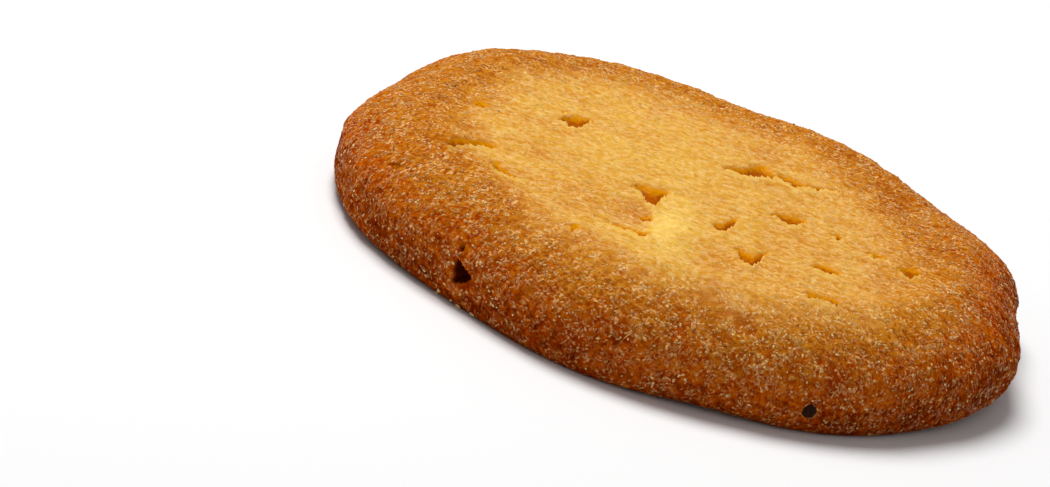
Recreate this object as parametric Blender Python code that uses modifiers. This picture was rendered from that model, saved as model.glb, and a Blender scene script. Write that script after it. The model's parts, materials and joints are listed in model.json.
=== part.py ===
"""Round shortbread biscuit, lying flat on its baked base.

The biscuit is one solid of dough: a low disc with a nearly upright wall, a
sloping shoulder and a broad rim round a slightly sunken middle. Short tears
are open in the middle, and one small hole in the wall.

Units are metres, +Z is up, and the base rests on Z = 0 under its own centre.
"""

import math

import bpy
import numpy as np
from mathutils import Matrix, Vector

MM = 0.001

# ---------------------------------------------------------------- driving sizes

RADIUS = 32.9 * MM          # mean radius of the widest ring
THICKNESS = 9.8 * MM        # base to the crest of the rim
WALL_TOP = 4.5 * MM         # height of the widest ring, where the shoulder starts
SHOULDER_WIDTH = 8.0 * MM   # widest ring inwards to the crest of the rim
SHOULDER_POWER = 1.6        # 1 is a straight chamfer, 2 a quarter of an ellipse
FOOT_WIDTH = 1.5 * MM       # widest ring inwards to the edge of the flat base
FOOT_POWER = 2.8            # the wall below the widest ring: higher is squarer

# Waves round the outline: waves per turn, height, and the angle of one crest.
OUTLINE_WAVES = (
    (1, 0.40 * MM, 64.0),
    (2, 0.56 * MM, -76.0),
    (3, 0.10 * MM, 36.0),
    (4, 0.19 * MM, 32.0),
    (5, 0.22 * MM, -18.0),
    (6, 0.26 * MM, 25.0),
    (8, 0.16 * MM, -18.0),
    (9, 0.15 * MM, -18.0),
)

# Local bulges (+) and hollows (-) of the outline: angle, height, spread in degrees.
OUTLINE_SWELLS = (
    (-10.0, 0.35 * MM, 8.0),
    (8.0, -0.35 * MM, 6.0),
    (22.0, 0.45 * MM, 8.0),
    (163.0, -0.35 * MM, 9.0),
    (187.0, 0.45 * MM, 9.0),
)

# Where the rim stands higher (+) or lower (-), in the same three numbers.
RIM_SWELLS = (
    (9.0, 0.35 * MM, 10.0),
    (35.0, -0.75 * MM, 16.0),
    (86.0, -0.55 * MM, 15.0),
    (135.0, 0.70 * MM, 28.0),
)
RIM_WIDTH = 11.0 * MM       # how far in from the crest the rim's swells reach

# Where the edge of the base curls up off the tray, in the same three numbers.
FOOT_LIFTS = (
    (205.0, 0.40 * MM, 20.0),
    (281.0, 0.45 * MM, 11.0),
    (346.0, 1.20 * MM, 20.0),
)
CURL_WIDTH = 3.0 * MM       # how far in from the edge the base curls up

# The middle sank while the rim set: centre, radius of the dip, width of its
# slope, and depth.
DIP_CENTRE = (0.5 * MM, -0.5 * MM)
DIP_RADIUS = 24.0 * MM
DIP_SLOPE = 4.0 * MM
DIP_DEPTH = 0.35 * MM

# Low swells (+) and dents (-) of the top: x, y, half-length along x and y, height.
TOP_SWELLS = (
    (-1.2 * MM, -18.5 * MM, 2.4 * MM, 5.0 * MM, 0.35 * MM),
    (-5.8 * MM, -15.0 * MM, 2.8 * MM, 4.0 * MM, -0.40 * MM),
    (-4.0 * MM, 7.0 * MM, 6.0 * MM, 8.0 * MM, 0.25 * MM),
    (6.5 * MM, 12.5 * MM, 5.0 * MM, 3.0 * MM, -0.25 * MM),
    (-24.0 * MM, 3.0 * MM, 1.8 * MM, 8.0 * MM, -0.25 * MM),
    (16.0 * MM, -13.0 * MM, 6.0 * MM, 5.0 * MM, 0.20 * MM),
)

# Tears in the top: name, x, y, length, width, depth, and turn about Z.
TEARS = (
    ("left_long", -20.2 * MM, -10.8 * MM, 5.0 * MM, 2.8 * MM, 1.1 * MM, 30.0),
    ("left_short", -16.3 * MM, -14.6 * MM, 4.2 * MM, 1.7 * MM, 0.8 * MM, -55.0),
    ("left_back", -12.9 * MM, 5.1 * MM, 3.0 * MM, 4.2 * MM, 1.0 * MM, 0.0),
    ("fork_left", -4.3 * MM, -8.8 * MM, 4.8 * MM, 1.9 * MM, 1.1 * MM, -62.0),
    ("fork_right", -3.1 * MM, -7.4 * MM, 3.4 * MM, 1.4 * MM, 0.9 * MM, 70.0),
    ("front_left", -4.4 * MM, -19.2 * MM, 3.0 * MM, 2.0 * MM, 1.0 * MM, -10.0),
    ("back_long_1", 3.9 * MM, 7.6 * MM, 5.8 * MM, 2.9 * MM, 1.2 * MM, 50.0),
    ("back_long_2", 8.8 * MM, 9.5 * MM, 5.8 * MM, 2.9 * MM, 1.1 * MM, 2.0),
    ("centre_slit", 3.3 * MM, -10.6 * MM, 4.2 * MM, 1.5 * MM, 0.8 * MM, 72.0),
    ("right_middle", 8.9 * MM, -2.7 * MM, 3.2 * MM, 2.6 * MM, 0.9 * MM, 0.0),
    ("right_speck", 13.5 * MM, -3.2 * MM, 1.6 * MM, 1.7 * MM, 0.6 * MM, 0.0),
    ("front_deep", 6.2 * MM, -16.4 * MM, 4.6 * MM, 2.2 * MM, 1.2 * MM, -68.0),
    ("right_front", 13.1 * MM, -13.2 * MM, 2.7 * MM, 2.1 * MM, 0.8 * MM, 0.0),
    ("front_right", 13.0 * MM, -20.9 * MM, 4.0 * MM, 2.1 * MM, 0.9 * MM, 15.0),
    ("right_slit", 20.6 * MM, -6.5 * MM, 3.4 * MM, 1.7 * MM, 0.8 * MM, 62.0),
)
TEAR_TILT = 16.0            # degrees by which a tear dips under its front lip

# The hole in the wall: its angle round the biscuit, height, width, rise, depth.
HOLE_ANGLE = 237.5
HOLE_HEIGHT = 3.4 * MM
HOLE_WIDTH = 1.3 * MM
HOLE_RISE = 2.0 * MM
HOLE_DEPTH = 1.3 * MM

# ---------------------------------------------------------------- fineness

TURN_STEPS = 96             # sides of the disc
TOP_RINGS = 12              # rings from the centre to the crest of the rim
SHOULDER_RINGS = 9
WALL_RINGS = 7
BASE_RINGS = 3
CUTTER_SEGMENTS = 12
CUTTER_RINGS = 8
MERGE = 0.00001             # weld distance at the poles and the seam
SMOOTH_ANGLE = math.radians(50.0)

DOUGH_COLOUR = (0.56, 0.27, 0.07, 1.0)
DOUGH_ROUGHNESS = 0.72


# ---------------------------------------------------------------- form

def smooth_step(value):
    """0 below 0, 1 above 1, and an S-curve between."""
    share = np.clip(value, 0.0, 1.0)
    return share * share * (3.0 - 2.0 * share)


def waves_at(angle, waves):
    """Sum of the waves: height * cos(count * (angle - crest))."""
    return sum(height * np.cos(count * (angle - math.radians(crest))) for count, height, crest in waves)


def swells_at(angle, swells):
    """Sum of the swells: each a bell over the angle round the biscuit."""
    total = 0.0 * angle
    for centre, height, spread in swells:
        away = (angle - math.radians(centre) + math.pi) % (2.0 * math.pi) - math.pi
        total = total + height * np.exp(-((away / math.radians(spread)) ** 2))
    return total


def outline_factor(angle):
    """Outline radius at an angle, as a share of RADIUS."""
    return 1.0 + (waves_at(angle, OUTLINE_WAVES) + swells_at(angle, OUTLINE_SWELLS)) / RADIUS


def relief(x, y):
    """Height that the dip and the swells add to the top at (x, y)."""
    from_dip = np.hypot(x - DIP_CENTRE[0], y - DIP_CENTRE[1])
    rise = -DIP_DEPTH * (1.0 - smooth_step((from_dip - DIP_RADIUS) / DIP_SLOPE + 0.5))
    for centre_x, centre_y, half_x, half_y, height in TOP_SWELLS:
        away = ((x - centre_x) / half_x) ** 2 + ((y - centre_y) / half_y) ** 2
        rise = rise + height * np.exp(-away)
    return rise


def rise_above_section(angle, out, z):
    """Height that the rim swells and foot lifts add to a point of the turned disc.

    out is the point's distance from the axis. The rim swells fade towards the
    middle and down to the widest ring, the foot lifts up to that ring and
    across the curl of the base.
    """
    up_shoulder = np.clip((z - WALL_TOP) / (THICKNESS - WALL_TOP), 0.0, 1.0)
    down_wall = np.clip(1.0 - z / WALL_TOP, 0.0, 1.0)
    in_rim = up_shoulder * smooth_step((out - RADIUS + SHOULDER_WIDTH) / RIM_WIDTH + 1.0)
    in_curl = down_wall * smooth_step((out - RADIUS + FOOT_WIDTH) / CURL_WIDTH + 1.0)
    return in_rim * swells_at(angle, RIM_SWELLS) + in_curl * swells_at(angle, FOOT_LIFTS)


def shape_points(points):
    """Turn points of the plain turned disc into points of the uneven biscuit."""
    x, y, z = points.T
    angle = np.arctan2(y, x)
    lifted = z + rise_above_section(angle, np.hypot(x, y), z)
    scale = outline_factor(angle)
    x, y = x * scale, y * scale
    on_top = smooth_step((z - WALL_TOP) / (THICKNESS - WALL_TOP))
    return np.column_stack((x, y, lifted + on_top * relief(x, y)))


def top_height(x, y):
    """Height of the shaped top at (x, y), inside the crest of the rim."""
    angle = math.atan2(y, x)
    out = math.hypot(x, y) / outline_factor(angle)
    height = THICKNESS + rise_above_section(np.float64(angle), out, THICKNESS)
    return float(height + relief(x, y))


def quarter(share, power):
    """Point of a unit superellipse: (1, 0) at share 0, and (0, 1) at share 1."""
    turn = math.pi / 2 * share
    return abs(math.cos(turn)) ** (2.0 / power), abs(math.sin(turn)) ** (2.0 / power)


def half_section():
    """Half of the upright section, from the top's centre outwards, down and back in.

    The top and the base are level. The shoulder above the widest ring and the
    wall below it are a quarter of a superellipse each.
    """
    crest = RADIUS - SHOULDER_WIDTH
    foot = RADIUS - FOOT_WIDTH
    section = [(crest * step / TOP_RINGS, THICKNESS) for step in range(TOP_RINGS)]
    for step in range(SHOULDER_RINGS):
        out, up = quarter(1.0 - step / SHOULDER_RINGS, SHOULDER_POWER)
        section.append((crest + SHOULDER_WIDTH * out, WALL_TOP + (THICKNESS - WALL_TOP) * up))
    for step in range(WALL_RINGS + 1):
        out, down = quarter(step / WALL_RINGS, FOOT_POWER)
        section.append((foot + FOOT_WIDTH * out, WALL_TOP * (1.0 - down)))
    flat = foot - CURL_WIDTH
    section += [(foot - CURL_WIDTH / 2, 0.0)]
    section += [(flat * (1.0 - step / BASE_RINGS), 0.0) for step in range(BASE_RINGS + 1)]
    return section


# ---------------------------------------------------------------- Blender objects

def clear_scene():
    """Remove every object of the scene."""
    for item in list(bpy.data.objects):
        bpy.data.objects.remove(item, do_unlink=True)


def new_collection(name):
    """A collection of that name in the scene."""
    collection = bpy.data.collections.new(name)
    bpy.context.scene.collection.children.link(collection)
    return collection


def dough_material():
    """Baked butter dough."""
    material = bpy.data.materials.new("baked_dough")
    material.use_nodes = True
    shader = material.node_tree.nodes["Principled BSDF"]
    shader.inputs["Base Color"].default_value = DOUGH_COLOUR
    shader.inputs["Roughness"].default_value = DOUGH_ROUGHNESS
    shader.inputs["Metallic"].default_value = 0.0
    return material


def turned_disc(collection):
    """The plain disc: the half section turned once round Z, as one closed mesh."""
    section = half_section()
    outline = bpy.data.meshes.new("half_section")
    edges = [(index, index + 1) for index in range(len(section) - 1)]
    outline.from_pydata([(x, 0.0, z) for x, z in section], edges, [])
    turned = bpy.data.objects.new("turned_section", outline)
    collection.objects.link(turned)
    screw = turned.modifiers.new("turn", "SCREW")
    screw.steps = TURN_STEPS
    screw.render_steps = TURN_STEPS
    screw.use_merge_vertices = True
    screw.merge_threshold = MERGE
    evaluated = turned.evaluated_get(bpy.context.evaluated_depsgraph_get())
    disc = bpy.data.meshes.new_from_object(evaluated)
    bpy.data.objects.remove(turned, do_unlink=True)
    bpy.data.meshes.remove(outline)
    return disc


def make_biscuit(collection):
    """The uneven biscuit, and the shift that put its base centre on the origin."""
    mesh = turned_disc(collection)
    mesh.name = "biscuit"
    flat = np.empty(len(mesh.vertices) * 3)
    mesh.vertices.foreach_get("co", flat)
    points = shape_points(flat.reshape(-1, 3))
    shift = -0.5 * (points.min(axis=0) + points.max(axis=0))
    shift[2] = 0.0
    mesh.vertices.foreach_set("co", (points + shift).ravel())
    mesh.update()
    mesh.materials.append(dough_material())
    mesh.shade_smooth()
    mesh.set_sharp_from_angle(angle=SMOOTH_ANGLE)
    biscuit = bpy.data.objects.new("biscuit", mesh)
    collection.objects.link(biscuit)
    return biscuit, Vector(shift)


def add_cutter(collection, name, size, placement):
    """A ball squashed to size (its three widths) and put where placement says."""
    bpy.ops.mesh.primitive_uv_sphere_add(segments=CUTTER_SEGMENTS, ring_count=CUTTER_RINGS, radius=0.5)
    cutter = bpy.context.object
    cutter.name = name
    cutter.data.transform(Matrix.Diagonal((*size, 1.0)))
    cutter.matrix_world = placement
    cutter.hide_render = True
    cutter.display_type = "WIRE"
    for owner in list(cutter.users_collection):
        owner.objects.unlink(cutter)
    collection.objects.link(cutter)
    return cutter


def tear_cutters(collection, shift):
    """One squashed ball for each tear, tilted so that it dips under its front lip."""
    tilt = Matrix.Rotation(math.radians(TEAR_TILT), 4, "X")
    for name, x, y, length, width, depth, turn in TEARS:
        place = Vector((x, y, top_height(x, y))) + shift
        placement = Matrix.Translation(place) @ tilt @ Matrix.Rotation(math.radians(turn), 4, "Z")
        yield add_cutter(collection, "tear_" + name, (length, width, 2.0 * depth), placement)


def hole_cutter(collection, shift):
    """A squashed ball set into the wall."""
    angle = math.radians(HOLE_ANGLE)
    out = RADIUS * outline_factor(angle)
    place = Vector((out * math.cos(angle), out * math.sin(angle), HOLE_HEIGHT)) + shift
    placement = Matrix.Translation(place) @ Matrix.Rotation(angle, 4, "Z")
    return add_cutter(collection, "wall_hole", (2.0 * HOLE_DEPTH, HOLE_WIDTH, HOLE_RISE), placement)


def cut_away(body, cutter):
    """Take the cutter's space out of the body."""
    cut = body.modifiers.new(cutter.name, "BOOLEAN")
    cut.operation = "DIFFERENCE"
    cut.solver = "EXACT"
    cut.object = cutter


def main():
    clear_scene()
    parts = new_collection("shortbread_biscuit")
    cutters = new_collection("cutters")
    biscuit, shift = make_biscuit(parts)
    for cutter in tear_cutters(cutters, shift):
        cut_away(biscuit, cutter)
    cut_away(biscuit, hole_cutter(cutters, shift))


main()
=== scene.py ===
import json
import math

import bpy
import numpy as np
from mathutils import Matrix, Vector

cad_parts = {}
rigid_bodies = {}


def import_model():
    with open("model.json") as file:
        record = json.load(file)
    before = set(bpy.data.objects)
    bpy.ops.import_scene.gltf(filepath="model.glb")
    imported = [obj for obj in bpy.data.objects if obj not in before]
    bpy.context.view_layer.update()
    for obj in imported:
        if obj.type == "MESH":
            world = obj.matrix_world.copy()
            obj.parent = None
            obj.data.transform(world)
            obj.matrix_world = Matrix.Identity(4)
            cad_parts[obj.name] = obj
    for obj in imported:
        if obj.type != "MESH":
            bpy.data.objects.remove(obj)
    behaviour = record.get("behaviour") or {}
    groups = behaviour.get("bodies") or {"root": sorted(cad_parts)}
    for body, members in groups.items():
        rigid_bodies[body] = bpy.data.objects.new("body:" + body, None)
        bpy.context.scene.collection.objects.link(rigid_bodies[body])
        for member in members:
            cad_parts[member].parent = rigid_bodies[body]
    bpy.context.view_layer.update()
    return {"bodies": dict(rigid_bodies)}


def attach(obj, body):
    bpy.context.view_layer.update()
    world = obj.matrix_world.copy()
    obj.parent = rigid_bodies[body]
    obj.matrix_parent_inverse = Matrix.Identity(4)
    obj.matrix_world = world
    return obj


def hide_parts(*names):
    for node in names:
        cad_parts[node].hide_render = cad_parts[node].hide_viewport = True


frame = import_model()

bl_info = {
    "name": "Shortbread biscuit",
    "version": (1, 0, 0),
    "blender": (4, 5, 0),
    "location": "View3D > Sidebar > Biscuit",
    "description": "Bakes a round shortbread biscuit with its crust, tears, crumbs and sugar",
    "category": "Add Mesh",
}

MM = 0.001
NODE = "biscuit"
BODY = next(iter(frame["bodies"]))

# ---------------------------------------------------------------- unevenness of the dough
# Lengths are in metres and angles in degrees. The first five lists are the solid's own.

OUTLINE_WAVES = (           # waves per turn, height, angle of one crest
    (1, 0.40 * MM, 64.0),
    (2, 0.56 * MM, -76.0),
    (3, 0.10 * MM, 36.0),
    (4, 0.19 * MM, 32.0),
    (5, 0.22 * MM, -18.0),
    (6, 0.26 * MM, 25.0),
    (8, 0.16 * MM, -18.0),
    (9, 0.15 * MM, -18.0),
)
OUTLINE_SWELLS = (          # angle, height, spread
    (-10.0, 0.35 * MM, 8.0),
    (8.0, -0.35 * MM, 6.0),
    (22.0, 0.45 * MM, 8.0),
    (163.0, -0.35 * MM, 9.0),
    (187.0, 0.45 * MM, 9.0),
)
RIM_SWELLS = (              # angle, height, spread
    (9.0, 0.35 * MM, 10.0),
    (35.0, -0.75 * MM, 16.0),
    (86.0, -0.55 * MM, 15.0),
    (135.0, 0.70 * MM, 28.0),
)
FOOT_LIFTS = (              # angle, height, spread
    (205.0, 0.40 * MM, 20.0),
    (281.0, 0.45 * MM, 11.0),
    (346.0, 1.20 * MM, 20.0),
)
TOP_SWELLS = (              # x, y, half-length along x and y, height
    (-1.2 * MM, -18.5 * MM, 2.4 * MM, 5.0 * MM, 0.35 * MM),
    (-5.8 * MM, -15.0 * MM, 2.8 * MM, 4.0 * MM, -0.40 * MM),
    (-4.0 * MM, 7.0 * MM, 6.0 * MM, 8.0 * MM, 0.25 * MM),
    (6.5 * MM, 12.5 * MM, 5.0 * MM, 3.0 * MM, -0.25 * MM),
    (-24.0 * MM, 3.0 * MM, 1.8 * MM, 8.0 * MM, -0.25 * MM),
    (16.0 * MM, -13.0 * MM, 6.0 * MM, 5.0 * MM, 0.20 * MM),
)
# How much farther from the middle, along the section, the browning of the rim starts at an angle, how
# much wider it is there, and how much farther out the browning of the wall starts.
BROWNING_START = (         # angle, height, spread
    (270.0, 5.8 * MM, 50.0),
    (310.0, 1.6 * MM, 20.0),
    (20.0, -4.4 * MM, 48.0),
    (85.0, -2.0 * MM, 25.0),
    (170.0, 1.8 * MM, 25.0),
)
BROWNING_WIDTH = ((175.0, -3.6 * MM, 32.0), (30.0, 3.3 * MM, 70.0), (25.0, -5.2 * MM, 30.0))
WALL_START = ((5.0, -5.0 * MM, 42.0), (280.0, 2.0 * MM, 32.0))
CLIFF = (-3.1 * MM, -14.5 * MM, 3.6 * MM)   # x of a low step in the top, and its y and half-length
TONES = (                   # x, y, half-length along x and y, browner (+) or paler (-)
    (-1.4 * MM, -17.5 * MM, 2.2 * MM, 6.0 * MM, -0.34),
    (-0.6 * MM, -9.0 * MM, 2.0 * MM, 4.0 * MM, -0.16),
    (3.4 * MM, -19.5 * MM, 2.0 * MM, 4.5 * MM, 0.12),
    (-9.5 * MM, -15.5 * MM, 4.5 * MM, 5.0 * MM, 0.20),
    (-17.0 * MM, 1.0 * MM, 5.0 * MM, 12.0 * MM, 0.08),
    (-9.0 * MM, 16.0 * MM, 9.0 * MM, 5.0 * MM, 0.08),
    (-22.0 * MM, 3.0 * MM, 2.5 * MM, 8.0 * MM, 0.08),
    (13.0 * MM, 13.0 * MM, 8.0 * MM, 6.0 * MM, 0.07),
    (20.0 * MM, -8.0 * MM, 4.0 * MM, 8.0 * MM, 0.08),
    (-5.4 * MM, -13.4 * MM, 1.6 * MM, 2.2 * MM, 0.10),
    (-14.6 * MM, -7.5 * MM, 1.0 * MM, 1.6 * MM, 0.12),
    (5.0 * MM, 12.5 * MM, 3.0 * MM, 2.2 * MM, 0.10),
    (13.0 * MM, -3.0 * MM, 10.0 * MM, 12.0 * MM, 0.10),
    (7.0 * MM, -20.0 * MM, 7.0 * MM, 5.0 * MM, 0.12),
    (12.0 * MM, -17.0 * MM, 6.0 * MM, 6.0 * MM, 0.07),
    (3.0 * MM, 14.0 * MM, 7.0 * MM, 5.0 * MM, 0.06),
    (-2.0 * MM, 3.0 * MM, 3.0 * MM, 9.0 * MM, -0.05),
)
# Each tear: its depth, then x, y of the front lip and y of the back edge, all in millimetres.
TEARS = (
    (1.1, ((-22.1, -13.6, -12.2), (-21.8, -14.4, -10.8), (-20.8, -13.0, -9.5), (-20.0, -11.8, -8.9),
           (-19.2, -11.0, -8.4), (-18.5, -11.2, -8.5), (-18.1, -10.2, -9.2))),
    (0.8, ((-17.9, -15.0, -13.4), (-17.4, -16.5, -13.2), (-16.6, -16.6, -14.4), (-15.8, -16.6, -15.4),
           (-14.9, -16.2, -15.6), (-14.2, -15.6, -15.3))),
    (0.9, ((-14.0, 3.7, 4.6), (-13.3, 3.0, 6.1), (-12.7, 2.6, 6.9), (-12.0, 3.1, 7.6), (-11.6, 5.0, 7.5),
           (-11.2, 6.6, 7.2))),
    (0.3, ((-14.3, 5.5, 5.9), (-13.9, 5.8, 6.9), (-13.5, 6.5, 7.2))),
    (1.1, ((-5.4, -8.0, -6.8), (-4.8, -9.0, -6.2), (-4.2, -9.8, -6.0), (-3.7, -11.1, -5.8), (-3.2, -11.4, -5.3),
           (-2.9, -9.5, -5.2), (-2.4, -7.0, -5.6))),
    (0.5, ((-4.1, -14.8, -14.2), (-3.6, -15.8, -13.8), (-3.1, -15.2, -13.4))),
    (0.8, ((-6.4, -19.3, -18.4), (-5.7, -20.4, -18.2), (-4.4, -20.3, -18.2), (-3.7, -20.9, -18.6),
           (-3.2, -21.2, -18.9), (-2.7, -19.9, -18.9))),
    (1.2, ((1.8, 5.3, 6.2), (2.4, 4.8, 7.0), (3.1, 4.8, 7.7), (3.8, 5.3, 8.6), (4.4, 5.7, 10.2), (5.2, 6.5, 11.6),
           (5.9, 7.0, 10.4), (6.4, 7.7, 9.5))),
    (1.1, ((6.2, 7.8, 9.3), (7.2, 7.7, 10.2), (7.9, 7.2, 10.4), (8.4, 6.9, 10.3), (9.2, 7.3, 9.8),
           (9.8, 7.8, 9.3))),
    (0.6, ((9.5, 7.7, 9.0), (10.7, 8.3, 9.7), (11.8, 9.0, 10.2), (12.8, 9.8, 10.5))),
    (0.8, ((2.4, -11.2, -10.4), (2.9, -12.9, -9.6), (3.4, -12.4, -8.6), (3.8, -10.4, -7.6), (4.3, -8.2, -7.0))),
    (0.9, ((7.2, -3.2, -2.2), (8.0, -3.8, -1.4), (8.8, -4.2, -1.0), (9.5, -4.0, -0.8), (10.1, -2.4, -1.0))),
    (0.7, ((12.8, -3.5, -2.8), (13.5, -4.2, -2.3), (14.1, -3.6, -2.8))),
    (1.2, ((4.9, -15.6, -14.8), (5.4, -17.9, -14.6), (6.0, -18.9, -14.8), (6.6, -19.1, -14.9),
           (7.0, -17.2, -14.2), (7.5, -14.6, -13.5))),
    (0.7, ((11.8, -14.0, -13.0), (12.5, -14.8, -12.1), (13.4, -14.9, -12.3), (14.2, -14.2, -13.2))),
    (0.9, ((11.4, -22.0, -21.1), (12.0, -22.8, -20.5), (12.9, -22.6, -20.2), (13.8, -22.4, -19.7),
           (14.4, -22.5, -20.2), (14.9, -21.7, -21.0))),
    (0.8, ((19.3, -6.9, -6.0), (19.8, -7.9, -5.3), (20.4, -8.4, -4.4), (20.9, -7.3, -4.5), (21.5, -6.4, -5.4))),
    (0.5, ((16.4, -5.4, -4.8), (17.2, -5.9, -3.9), (18.3, -5.3, -4.7))),
    (0.3, ((-21.8, 0.2, 1.8), (-21.2, -0.4, 2.4), (-20.6, 0.4, 1.8))),
    (0.25, ((-9.5, -24.3, -23.6), (-9.0, -24.8, -22.9), (-8.5, -24.3, -23.5))),
)
# Each pit in the wall: angle, height and depth, then its corners in order, each as the way along the
# wall and the way up from there, in millimetres.
PITS = (
    (238.0, 3.35 * MM, 1.3 * MM, ((-1.15, 0.95), (-0.90, -1.20), (0.45, -0.62), (0.90, 0.00), (0.75, 0.20))),
    (236.0, 5.30 * MM, 0.5 * MM, ((-0.20, 0.30), (-0.10, -0.30), (0.18, -0.20), (0.16, 0.25))),
    (213.1, 7.30 * MM, 0.22 * MM, ((-1.10, -0.15), (-0.90, -0.35), (0.60, -0.10), (1.10, 0.35), (-0.20, 0.18))),
)
SPECK = (296.5, 2.6 * MM)   # angle and height of the burnt speck


def rgb(red, green, blue):
    """A colour given in screen values from 0 to 255, as the linear values that shaders take."""
    screen = np.array((red, green, blue)) / 255.0
    linear = np.where(screen <= 0.04045, screen / 12.92, ((screen + 0.055) / 1.055) ** 2.4)
    return tuple(float(value) for value in linear)


# ---------------------------------------------------------------- settings shown in the panel

class FormSettings(bpy.types.PropertyGroup):
    """Sizes of the dough."""

    radius: bpy.props.FloatProperty(
        name="Radius", description="Mean radius of the widest ring", default=32.9 * MM, unit="LENGTH")
    thickness: bpy.props.FloatProperty(
        name="Thickness", description="Base to the crest of the rim", default=9.8 * MM, unit="LENGTH")
    wall_top: bpy.props.FloatProperty(
        name="Wall top", description="Height of the widest ring", default=4.5 * MM, unit="LENGTH")
    shoulder_width: bpy.props.FloatProperty(
        name="Shoulder width", description="Widest ring inwards to the crest", default=8.0 * MM, unit="LENGTH")
    shoulder_power: bpy.props.FloatProperty(
        name="Shoulder power", description="1 is a chamfer, 2 a quarter of an ellipse", default=1.6)
    foot_width: bpy.props.FloatProperty(
        name="Foot width", description="Widest ring inwards to the flat base", default=1.5 * MM, unit="LENGTH")
    foot_power: bpy.props.FloatProperty(
        name="Foot power", description="How square the wall below the widest ring is", default=2.8)
    rim_width: bpy.props.FloatProperty(
        name="Rim width", description="How far in from the crest the rim's swells reach",
        default=11.0 * MM, unit="LENGTH")
    curl_width: bpy.props.FloatProperty(
        name="Curl width", description="How far in from its edge the base curls up", default=3.0 * MM, unit="LENGTH")
    dip_radius: bpy.props.FloatProperty(
        name="Dip radius", description="Radius of the sunken middle", default=24.0 * MM, unit="LENGTH")
    dip_slope: bpy.props.FloatProperty(
        name="Dip slope", description="Width of the slope round the dip", default=4.0 * MM, unit="LENGTH")
    dip_depth: bpy.props.FloatProperty(
        name="Dip depth", description="How far the middle sank", default=0.35 * MM, unit="LENGTH")
    grid_cells: bpy.props.IntProperty(
        name="Grid cells", description="Cells across the top's grid", default=200, min=20)
    side_rings: bpy.props.IntProperty(
        name="Side rings", description="Rings down the shoulder and the wall", default=66, min=10)
    seed: bpy.props.IntProperty(name="Seed", description="Start of every random draw", default=7)


class CrustSettings(bpy.types.PropertyGroup):
    """Colours and finish of the baked dough."""

    butter: bpy.props.FloatVectorProperty(
        name="Butter", description="Palest patch of the middle", subtype="COLOR", size=3, default=rgb(233, 191, 89))
    middle: bpy.props.FloatVectorProperty(
        name="Middle", description="Pale golden middle", subtype="COLOR", size=3, default=rgb(215, 160, 56))
    crest: bpy.props.FloatVectorProperty(
        name="Crest", description="Where the browning starts", subtype="COLOR", size=3, default=rgb(204, 135, 37))
    rim: bpy.props.FloatVectorProperty(
        name="Rim", description="Brown rim", subtype="COLOR", size=3, default=rgb(190, 114, 20))
    wall: bpy.props.FloatVectorProperty(
        name="Wall", description="Deep amber of the wall", subtype="COLOR", size=3, default=rgb(186, 85, 0))
    # Foot: partly real browning and partly painted shade that darkens the wall towards its base.
    foot: bpy.props.FloatVectorProperty(
        name="Foot", description="Darkest brown, at the foot of the wall", subtype="COLOR", size=3,
        default=rgb(140, 44, 0))
    tear: bpy.props.FloatVectorProperty(
        name="Tear", description="Butter yellow inside a tear", subtype="COLOR", size=3, default=rgb(216, 138, 0))
    # Gap: painted shade, darkest at the deep end of a tear by its front lip.
    gap: bpy.props.FloatVectorProperty(
        name="Gap", description="Deep end of a tear", subtype="COLOR", size=3, default=rgb(164, 78, 0))
    # Fleck, flour and crumb colour the real pale crumbs, and also the crust's pale strokes and loops, which are
    # partly painted highlights.
    fleck: bpy.props.FloatVectorProperty(
        name="Fleck", description="Pale flecks of flour and sugar", subtype="COLOR", size=3,
        default=rgb(253, 209, 144))
    flour: bpy.props.FloatVectorProperty(
        name="Flour", description="Paler flecks in the middle", subtype="COLOR", size=3, default=rgb(250, 214, 148))
    sugar: bpy.props.FloatVectorProperty(
        name="Sugar", description="Bright grains of sugar", subtype="COLOR", size=3, default=rgb(252, 204, 140))
    crumb: bpy.props.FloatVectorProperty(
        name="Crumb", description="Thin parts of a fleck on the rim", subtype="COLOR", size=3,
        default=rgb(228, 146, 34))
    burnt: bpy.props.FloatVectorProperty(
        name="Burnt", description="Burnt speck in the wall", subtype="COLOR", size=3, default=rgb(48, 25, 16))
    # Hole: painted shade, a near-black brown laid inside the pits of the wall.
    hole: bpy.props.FloatVectorProperty(
        name="Hole", description="Inside of a pit in the wall", subtype="COLOR", size=3, default=rgb(70, 16, 0))
    roughness: bpy.props.FloatProperty(
        name="Roughness", description="Roughness of the crust", default=0.55, min=0.0, max=1.0, subtype="FACTOR")


class CrumbSettings(bpy.types.PropertyGroup):
    """Numbers and sizes of the loose and half-buried crumbs."""

    rim_count: bpy.props.IntProperty(
        name="Rim flecks", description="Flecks on the rim and the wall", default=4200, min=0)
    grain_count: bpy.props.IntProperty(
        name="Rim grains", description="Chunky grains on the rim and the wall", default=6500, min=0)
    middle_count: bpy.props.IntProperty(
        name="Middle flecks", description="Flecks on the pale middle", default=1100, min=0)
    sugar_count: bpy.props.IntProperty(
        name="Sugar", description="Bright grains of sugar", default=900, min=0)
    length: bpy.props.FloatProperty(
        name="Length", description="Mean length of a fleck", default=0.40 * MM, unit="LENGTH")
    width: bpy.props.FloatProperty(
        name="Width", description="Mean width of a fleck", default=0.17 * MM, unit="LENGTH")
    grain_size: bpy.props.FloatProperty(
        name="Grain size", description="Mean width of a chunky grain", default=0.25 * MM, unit="LENGTH")
    sugar_size: bpy.props.FloatProperty(
        name="Sugar size", description="Mean width of a grain of sugar", default=0.20 * MM, unit="LENGTH")


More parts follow.
